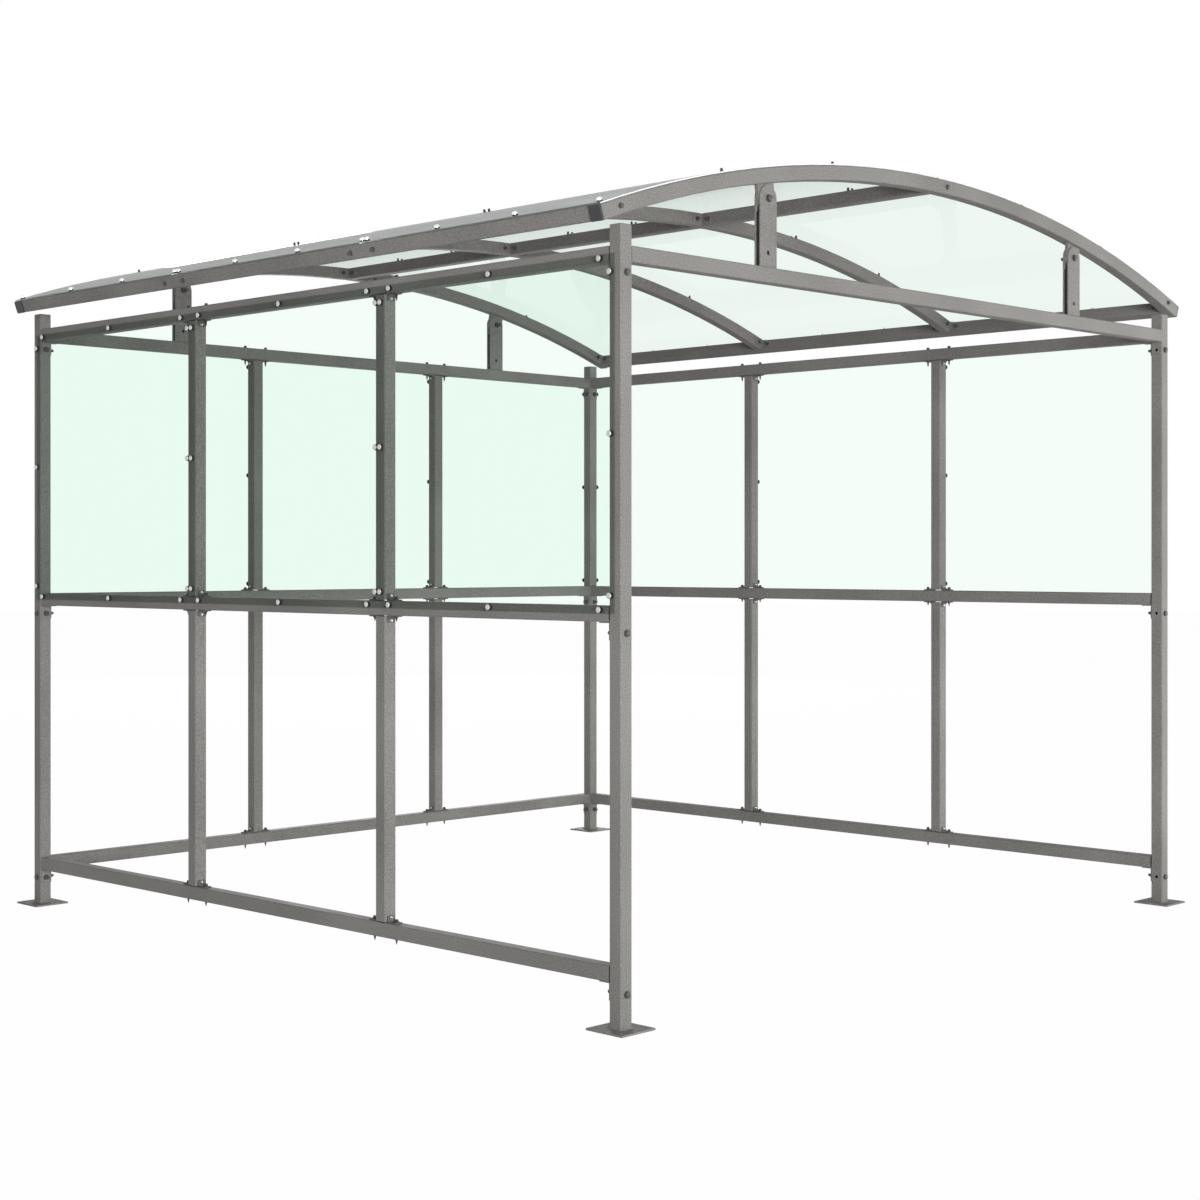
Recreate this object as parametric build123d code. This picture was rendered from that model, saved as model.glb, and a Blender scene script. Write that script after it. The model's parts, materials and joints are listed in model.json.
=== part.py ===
from build123d import *

import os
from math import asin, degrees, sqrt

# Open smoking shelter: three half-glazed walls of square tube and an arched roof.
# Millimetres. X runs along the open front, Y to the back, Z up.
# The origin is on the ground, under the middle of the shelter.

# Main frame, measured over the outer faces of the four corner posts
frame_width = 3000.0
frame_depth = 3000.0
post_height = 2200.0
bays_per_wall = 3

# Square tube that every post, rail, upright and arch is cut from; its corners are eased
tube = 45.0
tube_wall = 2.5
tube_corner = 3.0

# Foot plate and cap of each post
plate_side = 135.0
plate_thickness = 6.0
plate_hole_diameter = 12.0
plate_hole_inset = 20.0
cap_thickness = 2.0

# Rail levels, and how far under a rail its cleat is bolted to the post
bottom_rail_height = 130.0
top_rail_drop = 102.0
cleat_bolt_drop = 30.0
post_hole_diameter = 11.0

# Angle cleat that carries each end of a wall rail
rail_cleat_drop = 50.0
rail_cleat_reach = 40.0
rail_cleat_width = 40.0
cleat_thickness = 3.0

# Angle bracket at both sides of each upright's ends, thickened in its inner corner
bracket_rail_leg = 40.0
bracket_upright_leg = 22.0
bracket_width = 28.0
bracket_thickness = 4.0
bracket_corner = 8.0

# Gap at the ends of the rails and uprights, which their angles bridge
joint_gap = 3.0

# Clear sheets of the walls and the roof
sheet_thickness = 4.0
sheet_gap = 2.0
roof_sheet_clearance = 0.5

# Roof arches: outer radius, side overhang and gap over the posts' tops
arch_radius = 4675.0
roof_overhang = 80.0
roof_gap = 22.4

# Cleats of the eaves and of the ridge purlins
roof_cleat_leg = 50.0
roof_cleat_width = 32.0

# Struts between the beams and the end arches: a folded fork and a welded lug
strut_inset = 648.0
strut_width = 77.0
strut_plate = 5.0
strut_head_gap = 6.0
pivot_hole_diameter = 12.5
lug_width = 76.0
lug_corner = 22.0
lug_thickness = 12.0
lug_clearance = 0.3
weld_bite_share = 0.5

# Plastic plugs in the open ends of the two end arches
plug_head = 6.0
plug_edge = 2.0
plug_depth = 25.0
plug_clearance = 0.3

# Cuts run past the faces they open by this much
overrun = 5.0

# Levels and places that follow from the sizes above
half_width = frame_width / 2
half_depth = frame_depth / 2
bottom_rail_z = bottom_rail_height
top_rail_z = post_height - top_rail_drop
mid_rail_z = (bottom_rail_z + top_rail_z) / 2
rail_levels = {"bottom": bottom_rail_z, "mid": mid_rail_z, "top": top_rail_z}
beam_top_z = top_rail_z + tube

underside_radius = arch_radius - tube
arch_centre_z = post_height + roof_gap - sqrt(underside_radius**2 - half_width**2)
arch_half_angle = degrees(asin((half_width + roof_overhang) / arch_radius))
arch_axis = Axis((0, 0, arch_centre_z), (0, 1, 0))
arch_plane = Plane((0, 0, arch_centre_z), x_dir=(0, 1, 0), z_dir=(1, 0, 0))
roof_bay = (frame_depth - tube) / bays_per_wall
end_arch_y = half_depth - tube / 2
mid_arch_y = end_arch_y - roof_bay

strut_x = half_width - strut_inset
strut_gap = lug_thickness + 2 * lug_clearance
strut_depth = strut_gap + 2 * strut_plate
pivot_radius = underside_radius - strut_width / 2 - strut_head_gap
pivot_z = arch_centre_z + sqrt(pivot_radius**2 - strut_x**2)
lug_angle = degrees(asin(strut_x / pivot_radius))


def save(name, solids):
    """Writes one node's solids to its STEP file."""
    export_step(Compound(solids), f"parts/{name}.step")


def tube_outline():
    """Outer outline of the square tube with its eased corners."""
    return chamfer(Rectangle(tube, tube).vertices(), tube_corner)


def tube_section():
    """Hollow section of the square tube, centred on its axis."""
    bore = tube - 2 * tube_wall
    return tube_outline() - Rectangle(bore, bore)


def upright_tube(length):
    """Tube along +Z that stands on the origin."""
    return extrude(tube_section(), length)


def level_tube(length):
    """Tube along X, centred on the origin."""
    return extrude(Plane.YZ * tube_section(), length / 2, both=True)


def angle_iron(leg_x, leg_z, width, thickness):
    """Angle with its heel on the origin, legs along +X and +Z, centred across Y."""
    legs = Pos(leg_x / 2, thickness / 2) * Rectangle(leg_x, thickness)
    legs += Pos(thickness / 2, leg_z / 2) * Rectangle(thickness, leg_z)
    return extrude(Plane.XZ * legs, width / 2, both=True)


def bracket_angle():
    """Bracket of an upright's foot: one leg along the rail, one up the upright's side."""
    angle = angle_iron(bracket_rail_leg, bracket_upright_leg, bracket_width, bracket_thickness)
    inner_edges = angle.edges().filter_by(Axis.Y).sort_by_distance(
        (bracket_thickness, 0, bracket_thickness))
    return chamfer(inner_edges[0], bracket_corner)


def mirrored(solid, plane):
    """The solid and its mirror image."""
    return [solid, mirror(solid, about=plane)]


def wall_place(turn, distance):
    """Frame of a wall: X along it, Y outwards from its outer face, Z up."""
    return Rot(0, 0, turn) * Pos(0, distance, 0)


def upright_places(span):
    """Positions of the uprights along a wall that is span long."""
    bay = (span - tube) / bays_per_wall
    return [(i - bays_per_wall / 2) * bay for i in range(1, bays_per_wall)]


def make_posts():
    """Corner posts on welded foot plates, and the plates that close their tops."""
    caps = []
    hole_pitch = plate_side - 2 * plate_hole_inset
    for depth_name, y_side in (("front", -1), ("back", 1)):
        for width_name, x_side in (("left", -1), ("right", 1)):
            foot = Rectangle(plate_side, plate_side)
            foot -= GridLocations(hole_pitch, hole_pitch, 2, 2) * Circle(plate_hole_diameter / 2)
            post = extrude(foot, plate_thickness)
            height = post_height - cap_thickness - plate_thickness
            post += Pos(0, 0, plate_thickness) * upright_tube(height)
            if depth_name == "front":
                post -= spare_holes(-x_side)
            place = Pos(x_side * (half_width - tube / 2), y_side * end_arch_y, 0)
            save(f"{depth_name}_{width_name}_post", [place * post])
            cap = extrude(tube_outline(), cap_thickness)
            caps.append(place * Pos(0, 0, post_height - cap_thickness) * cap)
    save("post_caps", caps)


def spare_holes(inward):
    """Cutters for the unused holes in a front post's inner wall, one under each rail level."""
    length = tube_wall + overrun
    drill = Cylinder(post_hole_diameter / 2, length, rotation=(0, 90, 0))
    x = inward * (tube / 2 + overrun - length / 2)
    return [Pos(x, 0, level - cleat_bolt_drop) * drill for level in rail_levels.values()]


def make_wall(name, turn, span, distance):
    """One wall: three rails, two rows of uprights, their angles and the clear sheets."""
    place = wall_place(turn, distance)
    inner_span = span - 2 * tube
    for level_name, level in rail_levels.items():
        rail = Pos(0, -tube / 2, level + tube / 2) * level_tube(inner_span - 2 * joint_gap)
        save(f"{name}_{level_name}_rail", [place * rail])

    places = upright_places(span)
    rows = {"lower": (bottom_rail_z + tube, mid_rail_z), "upper": (mid_rail_z + tube, top_rail_z)}
    brackets = []
    for row_name, (foot_z, head_z) in rows.items():
        upright = Pos(0, -tube / 2, foot_z + joint_gap) * upright_tube(head_z - foot_z - 2 * joint_gap)
        save(f"{name}_{row_name}_uprights", [place * Pos(x, 0, 0) * upright for x in places])
        for x in places:
            brackets += upright_brackets(x, foot_z, head_z)
    save(f"{name}_upright_brackets", [place * bracket for bracket in brackets])

    cleat = mirror(angle_iron(rail_cleat_reach, rail_cleat_drop, rail_cleat_width,
                              cleat_thickness), about=Plane.XY)
    cleats = []
    for level in rail_levels.values():
        cleats += mirrored(Pos(-inner_span / 2, -tube / 2, level) * cleat, Plane.YZ)
    save(f"{name}_rail_cleats", [place * piece for piece in cleats])

    bay = (span - tube) / bays_per_wall
    sheet_z = (mid_rail_z + top_rail_z + tube) / 2
    sheet = Box(bay - sheet_gap, sheet_thickness, top_rail_z - mid_rail_z)
    sheet_places = [(i - (bays_per_wall - 1) / 2) * bay for i in range(bays_per_wall)]
    save(f"{name}_glazing",
         [place * Pos(x, sheet_thickness / 2, sheet_z) * sheet for x in sheet_places])


def upright_brackets(x, foot_z, head_z):
    """The four angles of one upright: two on the rail below it and two under the rail above."""
    foot = Pos(tube / 2, 0, 0) * bracket_angle()
    head = mirror(foot, about=Plane.XY)
    pieces = []
    for bracket, z in ((foot, foot_z), (head, head_z)):
        pieces += [Pos(x, -tube / 2, z) * piece for piece in mirrored(bracket, Plane.YZ)]
    return pieces


def make_front_beam():
    """Beam over the open front, level with the top rails."""
    beam = Pos(0, -end_arch_y, top_rail_z + tube / 2) * level_tube(frame_width - 2 * tube)
    save("front_beam", [beam])


def arc_of(section, start, end):
    """Turns a section, drawn in depth and radius, about the arches' centre line."""
    return revolve(arch_plane * section, arch_axis, end - start).rotate(arch_axis, start)


def arch_at(y):
    """Full arch of tube from eave to eave, centred on depth y."""
    section = Pos(y, arch_radius - tube / 2) * tube_section()
    return arc_of(section, -arch_half_angle, arch_half_angle)


def eave_place():
    """Frame at the right end of an arch: X along its outer edge, Z outwards from its centre."""
    return Pos(0, 0, arch_centre_z) * Rot(0, arch_half_angle, 0) * Pos(0, 0, arch_radius)


def strut_lug():
    """Lug square to an end arch: its clipped end hangs on the pivot, its root bites into the tube."""
    root_radius = underside_radius + tube_wall * weld_bite_share
    reach = arch_radius - pivot_radius + lug_width / 2
    lug = Rectangle(lug_width, reach)
    lug = chamfer(lug.vertices().sort_by(Axis.Y)[:2], lug_corner)
    lug = Pos(0, arch_radius - reach / 2) * lug & Circle(root_radius)
    lug -= Pos(0, pivot_radius) * Circle(pivot_hole_diameter / 2)
    plate = extrude(Plane.XZ * lug, lug_thickness / 2, both=True)
    return Pos(0, 0, arch_centre_z) * Rot(0, lug_angle, 0) * plate


def strut():
    """Fork folded from plate: it stands on a beam and holds a lug between round-ended cheeks."""
    rise = pivot_z - beam_top_z
    cheek = Pos(0, rise) * Circle(strut_width / 2)
    cheek += Pos(0, rise / 2) * Rectangle(strut_width, rise)
    cheek -= Pos(0, rise) * Circle(pivot_hole_diameter / 2)
    fork = extrude(Plane.XZ * cheek, strut_depth / 2, both=True)
    slot_height = rise + strut_width
    slot = Box(strut_width + 2 * overrun, strut_gap, slot_height)
    return fork - Pos(0, 0, strut_plate + slot_height / 2) * slot


def make_arches():
    """End arches with their lugs, mid arches cut to the eaves, and the plugs in the end arches."""
    plugs = []
    lugs = mirrored(strut_lug(), Plane.YZ)
    plug = arch_plug()
    for name, y_side in (("front", -1), ("back", 1)):
        y = y_side * end_arch_y
        arch = arch_at(y) + [Pos(0, y, 0) * lug for lug in lugs]
        save(f"{name}_arch", [arch])
        plugs += mirrored(eave_place() * Pos(0, y, 0) * plug, Plane.YZ)
        trimmed = arch_at(y_side * mid_arch_y) - eave_cutters()
        save(f"{name}_mid_arch", [trimmed])
    save("arch_end_plugs", plugs)


def eave_cutters():
    """Cutters that end the mid arches at the inner faces of the eaves."""
    cutter = Box(tube + overrun, frame_depth, tube + 2 * overrun)
    x = (overrun - tube) / 2
    return mirrored(eave_place() * Pos(x, 0, -tube / 2) * cutter, Plane.YZ)


def arch_plug():
    """Plug in an arch's end: a bevelled head as wide as the tube and a stem inside it."""
    stem_side = tube - 2 * tube_wall - 2 * plug_clearance
    head = extrude(tube_outline(), plug_head)
    head = chamfer(head.faces().sort_by(Axis.Z)[-1].edges(), plug_edge)
    stem = extrude(Rectangle(stem_side, stem_side), -plug_depth)
    return Pos(0, 0, -tube / 2) * Rot(0, 90, 0) * (head + stem)


def make_eaves():
    """Eave tubes between the end arches, and the cleats that join all arches to them."""
    eave = extrude(Plane.XZ * tube_section(), (frame_depth - 2 * tube) / 2, both=True)
    right_eave = eave_place() * Pos(-tube / 2, 0, -tube / 2) * eave
    save("right_eave", [right_eave])
    save("left_eave", [mirror(right_eave, about=Plane.YZ)])

    cleat = Pos(-tube, 0, -tube / 2) * Rot(90, 0, 0) * mirror(
        angle_iron(roof_cleat_leg, roof_cleat_leg, roof_cleat_width, cleat_thickness),
        about=Plane.YZ)
    faces = [(-end_arch_y + tube / 2, -1), (-mid_arch_y - tube / 2, 1), (-mid_arch_y + tube / 2, -1)]
    cleats = []
    for y, side in faces:
        turned = cleat if side > 0 else mirror(cleat, about=Plane.XZ)
        for piece in mirrored(eave_place() * Pos(0, y, 0) * turned, Plane.XZ):
            cleats += mirrored(piece, Plane.YZ)
    save("eave_cleats", cleats)


def make_purlins():
    """Ridge purlins between the arches, and a cleat at each end, on opposite sides."""
    length = roof_bay - tube
    z = arch_centre_z + arch_radius - tube / 2
    purlin = extrude(Plane.XZ * tube_section(), length / 2, both=True)
    cleat = Rot(90, 0, 0) * angle_iron(roof_cleat_leg, roof_cleat_leg, roof_cleat_width,
                                       cleat_thickness)
    back_cleat = mirror(Pos(tube / 2, length / 2, 0) * cleat, about=Plane.YZ)
    purlins = []
    cleats = []
    for i in range(bays_per_wall):
        y = (i - (bays_per_wall - 1) / 2) * roof_bay
        purlins.append(Pos(0, y, z) * purlin)
        cleats += [Pos(0, y, z) * piece for piece in (back_cleat, Rot(0, 0, 180) * back_cleat)]
    save("ridge_purlins", purlins)
    save("purlin_cleats", cleats)


def make_roof_sheets():
    """Curved sheets on the arches, two halves to each bay, that meet over the ridge."""
    inner = arch_radius + roof_sheet_clearance
    ridge_angle = degrees(asin(sheet_gap / 2 / inner))
    outer_end = half_depth
    edges = [-outer_end, -mid_arch_y, mid_arch_y, outer_end]
    for name, front, back in zip(("front", "middle", "back"), edges, edges[1:]):
        front_y = front if front == -outer_end else front + sheet_gap / 2
        back_y = back if back == outer_end else back - sheet_gap / 2
        section = Pos((front_y + back_y) / 2, inner + sheet_thickness / 2) * Rectangle(
            back_y - front_y, sheet_thickness)
        half = arc_of(section, ridge_angle, arch_half_angle)
        save(f"{name}_roof_sheets", mirrored(half, Plane.YZ))


def make_struts():
    """Two struts on the front beam and two on the back top rail."""
    fork = strut()
    for name, y_side in (("front", -1), ("back", 1)):
        place = Pos(strut_x, y_side * end_arch_y, beam_top_z)
        save(f"{name}_struts", mirrored(place * fork, Plane.YZ))


os.makedirs("parts", exist_ok=True)
make_posts()
make_wall("left", 90, frame_depth, half_width)
make_wall("right", -90, frame_depth, half_width)
make_wall("back", 0, frame_width, half_depth)
make_front_beam()
make_arches()
make_eaves()
make_purlins()
make_roof_sheets()
make_struts()
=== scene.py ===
"""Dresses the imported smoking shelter: finishes, fasteners, welds, studio light and camera.

Metres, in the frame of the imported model: X along the open front, Y to the back, Z up.
"""

import json
import logging
from abc import ABC, abstractmethod
from dataclasses import dataclass, field
from enum import Enum
from math import atan, cos, radians, sin
from typing import ClassVar

import bpy
import numpy as np
from bpy.types import ID, Material, Node, NodeSocket, NodeTree, Object
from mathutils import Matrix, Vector

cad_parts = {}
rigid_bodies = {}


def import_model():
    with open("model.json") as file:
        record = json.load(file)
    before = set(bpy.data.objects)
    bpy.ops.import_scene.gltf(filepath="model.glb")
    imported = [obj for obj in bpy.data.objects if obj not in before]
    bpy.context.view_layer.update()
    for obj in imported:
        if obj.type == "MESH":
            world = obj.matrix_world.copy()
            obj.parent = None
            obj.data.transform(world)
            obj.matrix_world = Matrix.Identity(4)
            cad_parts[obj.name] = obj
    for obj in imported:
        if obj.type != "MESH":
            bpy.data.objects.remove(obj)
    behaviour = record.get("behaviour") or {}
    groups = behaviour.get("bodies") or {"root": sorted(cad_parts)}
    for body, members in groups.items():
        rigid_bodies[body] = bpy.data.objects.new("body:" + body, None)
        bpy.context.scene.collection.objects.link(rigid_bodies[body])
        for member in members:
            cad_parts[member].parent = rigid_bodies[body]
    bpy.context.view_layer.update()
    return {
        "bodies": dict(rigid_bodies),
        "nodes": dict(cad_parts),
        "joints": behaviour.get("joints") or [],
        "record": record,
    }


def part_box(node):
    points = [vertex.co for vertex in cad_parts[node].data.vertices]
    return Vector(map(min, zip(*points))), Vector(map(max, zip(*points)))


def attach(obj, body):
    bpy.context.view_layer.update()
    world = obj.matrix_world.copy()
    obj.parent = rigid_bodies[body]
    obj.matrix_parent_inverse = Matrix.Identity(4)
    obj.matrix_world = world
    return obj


LOG = logging.getLogger("shelter")
BODY = "root"
WHITE = "#ffffff"
HEXAGON = 6
# Decimals of a metre to which points on one level agree
LEVEL_DIGITS = 5
# Signs of two ends, and of two ends with the middle between them
ENDS = np.array([-1.0, 1.0])
ENDS_AND_MIDDLE = np.array([-1.0, 0.0, 1.0])
# Range that most values of a noise texture lie in
NOISE_RANGE = {"From Min": 0.3, "From Max": 0.7}


class Slot(str, Enum):
    """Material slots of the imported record."""

    STEEL = "frame_steel"
    SHEET = "clear_sheet"
    PLASTIC = "plug_plastic"


class Wall(Enum):
    """The three walls, each with its direction along it and its outward direction."""

    LEFT = ("left", (0, 1, 0), (-1, 0, 0))
    RIGHT = ("right", (0, -1, 0), (1, 0, 0))
    BACK = ("back", (1, 0, 0), (0, 1, 0))

    @property
    def label(self) -> str:
        """Word that starts the names of the wall's nodes."""
        return self.value[0]

    @property
    def basis(self) -> np.ndarray:
        """Rows that take (along, outward, up) to the model's axes."""
        return np.array([self.value[1], self.value[2], (0, 0, 1)], float)


# Colours, nodes and meshes


def linear(hex_colour: str) -> tuple[float, float, float, float]:
    """Linear colour of an sRGB hex value.

    Args:
        hex_colour: Six hex digits after a hash mark.

    Returns:
        Red, green, blue and an alpha of one.
    """
    srgb = np.array([int(hex_colour[i:i + 2], 16) for i in (1, 3, 5)]) / 255
    value = np.where(srgb <= 0.04045, srgb / 12.92, ((srgb + 0.055) / 1.055) ** 2.4)
    return (*value.tolist(), 1.0)


def add_node(tree: NodeTree, kind: str, inputs: dict | None = None, **settings: object) -> Node:
    """Adds a node, sets its properties and fills its inputs.

    Args:
        tree: Node tree that gets the node.
        kind: Type name of the node.
        inputs: Input name or index to a value, to an output, or to a node's first output.
        settings: Properties set on the node itself.

    Returns:
        The new node.
    """
    node = tree.nodes.new(kind)
    for key, value in settings.items():
        setattr(node, key, value)
    for key, value in (inputs or {}).items():
        source = value.outputs[0] if isinstance(value, Node) else value
        if isinstance(source, NodeSocket):
            tree.links.new(source, node.inputs[key])
        else:
            node.inputs[key].default_value = source
    return node


def empty_material(name: str) -> tuple[Material, NodeTree]:
    """New material with an empty node tree.

    Args:
        name: Name of the material.

    Returns:
        The material and its node tree.
    """
    material = bpy.data.materials.new(name)
    material.use_nodes = True
    material.node_tree.nodes.clear()
    return material, material.node_tree


@dataclass
class Shape:
    """Points of a mesh and its polygons, in arrays of one corner count each."""

    points: np.ndarray
    polygons: list[np.ndarray]


def turned(profile: np.ndarray, sides: int) -> Shape:
    """Solid turned about Z and closed by a flat polygon at both ends.

    Point (i, j) is (r cos t, r sin t, h): (r, h) is point i of the profile, which runs upwards,
    and t is step j of equal steps once round. Six steps give a hexagon with corners at r.

    Args:
        profile: Radius and height of each ring.
        sides: Steps round the axis.

    Returns:
        The closed shape.
    """
    turn = np.linspace(0.0, 2 * np.pi, sides, endpoint=False)
    radius, height = profile[:, :1], profile[:, 1:]
    points = np.stack([radius * np.cos(turn), radius * np.sin(turn), height + 0 * turn], axis=-1)
    row, column = np.mgrid[0:len(profile) - 1, 0:sides]
    low = row * sides + column
    low_next = row * sides + (column + 1) % sides
    quads = np.stack([low, low_next, low_next + sides, low + sides], axis=-1)
    ring = np.arange(sides)
    caps = np.stack([ring[::-1], ring + (len(profile) - 1) * sides])
    return Shape(points.reshape(-1, 3), [quads.reshape(-1, 4), caps])


def block(low: tuple[float, float, float], high: tuple[float, float, float]) -> Shape:
    """Box between two corners; its eight points are all choices of a low or a high coordinate.

    Args:
        low: Corner with the lowest coordinates.
        high: Corner with the highest.

    Returns:
        The closed shape.
    """
    pick = np.indices((2, 2, 2)).reshape(3, -1).T
    faces = np.array([[0, 1, 3, 2], [4, 6, 7, 5], [0, 4, 5, 1], [2, 3, 7, 6], [0, 2, 6, 4],
                      [1, 5, 7, 3]])
    return Shape(np.where(pick == 0, np.array(low), np.array(high)), [faces])


def swept_loop(path: np.ndarray, outward: np.ndarray, sections: np.ndarray) -> Shape:
    """Closed bead: a closed section carried round a closed level path.

    Point (i, j) is path point i plus a times its outward direction plus b upwards, where (a, b)
    is corner j of the section at that point.

    Args:
        path: Points of the path, anticlockwise from above.
        outward: Level unit vector at each path point.
        sections: Outward and upward offsets of the section's corners at each path point.

    Returns:
        The closed shape.
    """
    up = np.array([0.0, 0.0, 1.0])
    points = path[:, None] + sections[..., :1] * outward[:, None] + sections[..., 1:] * up
    rows, columns = points.shape[:2]
    row, column = np.mgrid[0:rows, 0:columns]
    row_next, column_next = (row + 1) % rows, (column + 1) % columns
    corners = [(row, column), (row_next, column), (row_next, column_next), (row, column_next)]
    quads = np.stack([r * columns + c for r, c in corners], axis=-1)
    return Shape(points.reshape(-1, 3), [quads.reshape(-1, 4)])


def joined(*shapes: Shape) -> Shape:
    """One shape of several: their points in a row, and their polygons shifted to match.

    Args:
        shapes: What is put together.

    Returns:
        The joined shape.
    """
    starts = np.cumsum([0] + [len(shape.points) for shape in shapes])
    polygons = [polygon + start for shape, start in zip(shapes, starts)
                for polygon in shape.polygons]
    return Shape(np.concatenate([shape.points for shape in shapes]), polygons)


def moved(shape: Shape, rise: float) -> Shape:
    """The shape shifted along its own Z."""
    return Shape(shape.points + np.array([0.0, 0.0, rise]), shape.polygons)


def bases_along(axes: np.ndarray, upright_from: float = 0.9) -> np.ndarray:
    """Right-handed bases whose Z columns are the given directions.

    X is level and square to the direction, or along X where the direction is upright, and Y is
    the cross product of Z and X.

    Args:
        axes: Unit directions, one a row.
        upright_from: Height of a unit direction that counts as upright.

    Returns:
        One matrix for each direction, with the basis in its columns.
    """
    upright = np.abs(axes[:, 2:]) > upright_from
    helper = np.where(upright, np.array([0.0, 1.0, 0.0]), np.array([0.0, 0.0, 1.0]))
    x_axis = np.cross(helper, axes)
    x_axis /= np.linalg.norm(x_axis, axis=1, keepdims=True)
    return np.stack([x_axis, np.cross(axes, x_axis), axes], axis=-1)


def repeated(shape: Shape, origins: np.ndarray, axes: np.ndarray) -> Shape:
    """Copies of a shape, each with its Z along a direction.

    Every copy's points are its basis times the shape's points, plus its origin.

    Args:
        shape: What is copied.
        origins: Place of each copy's own origin.
        axes: Direction of each copy's Z, or one direction for all.

    Returns:
        All copies as one shape.
    """
    bases = bases_along(np.broadcast_to(axes, origins.shape))
    points = np.einsum("nij,kj->nki", bases, shape.points) + origins[:, None]
    shift = np.arange(len(origins))[:, None, None] * len(shape.points)
    polygons = [(polygon + shift).reshape(-1, polygon.shape[1]) for polygon in shape.polygons]
    return Shape(points.reshape(-1, 3), polygons)


def linked(name: str, data: ID) -> Object:
    """New object of some data, linked into the scene.

    Args:
        name: Name of the object.
        data: Its mesh, lamp or camera.

    Returns:
        The object.
    """
    thing = bpy.data.objects.new(name, data)
    bpy.context.scene.collection.objects.link(thing)
    return thing


def meshed(name: str, shape: Shape) -> Object:
    """New object with a shape's mesh.

    Args:
        name: Name of the object and of its mesh.
        shape: Its points and polygons.

    Returns:
        The object.
    """
    mesh = bpy.data.meshes.new(name)
    faces = [row for polygon in shape.polygons for row in polygon.tolist()]
    mesh.from_pydata(shape.points.tolist(), [], faces)
    return linked(name, mesh)


def add_piece(name: str, shape: Shape, material: Material,
              crease: float = radians(38)) -> None:
    """Puts a shape into the scene as a piece of the shelter.

    Args:
        name: Name of the piece.
        shape: Its points and polygons, in the model's frame.
        material: Its finish.
        crease: Edges that turn by more than this stay sharp.
    """
    piece = meshed(name, shape)
    piece.data.materials.append(material)
    piece.data.shade_smooth()
    piece.data.set_sharp_from_angle(angle=crease)
    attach(piece, BODY)
    LOG.info("%s: %d faces, %s", name, len(piece.data.polygons), material.name)


# Finishes


@dataclass(frozen=True)
class PowderCoat:
    """Powder-coated mild steel: a baked satin coat with a fine flake that breaks up the grey."""

    name: str = "powder_coated_steel"
    colour: str = "#8f8d8a"
    flake_dark: str = "#7a7875"
    flake_light: str = "#a3a19e"
    flake_stops: tuple[float, float, float] = (0.45, 0.675, 0.9)
    flake: float = 0.004
    wave: float = 0.35
    wave_share: float = 0.35
    roughness: float = 0.62
    roughness_spread: float = 0.04
    gloss: float = 0.04
    orange_peel: float = 0.0025
    peel_depth: float = 0.00002

    def material(self) -> Material:
        """Builds the finish; the flake is drawn coarser than the real one so that it shows.

        Returns:
            The material.
        """
        material, tree = empty_material(self.name)
        place = add_node(tree, "ShaderNodeTexCoord").outputs["Object"]
        flake, cloud, peel = [
            add_node(tree, "ShaderNodeTexNoise",
                     {"Vector": place, "Scale": 1 / size, "Detail": detail})
            for size, detail in ((self.flake, 2.0), (self.wave, 1.0), (self.orange_peel, 1.0))]
        blend = add_node(tree, "ShaderNodeMath", {0: cloud, 1: self.wave_share, 2: flake},
                         operation="MULTIPLY_ADD")
        ramp = add_node(tree, "ShaderNodeValToRGB", {"Fac": blend})
        stops = ramp.color_ramp.elements
        stops.new(self.flake_stops[1])
        colours = (self.flake_dark, self.colour, self.flake_light)
        for stop, position, colour in zip(stops, self.flake_stops, colours):
            stop.position = position
            stop.color = linear(colour)
        gloss = add_node(tree, "ShaderNodeMapRange",
                         {"Value": cloud, **NOISE_RANGE,
                          "To Min": self.roughness - self.roughness_spread,
                          "To Max": self.roughness + self.roughness_spread})
        bump = add_node(tree, "ShaderNodeBump", {"Height": peel, "Distance": self.peel_depth})
        shader = add_node(tree, "ShaderNodeBsdfPrincipled",
                          {"Base Color": ramp, "Roughness": gloss, "Normal": bump,
                           "Specular IOR Level": self.gloss})
        add_node(tree, "ShaderNodeOutputMaterial", {"Surface": shader})
        return material


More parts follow.
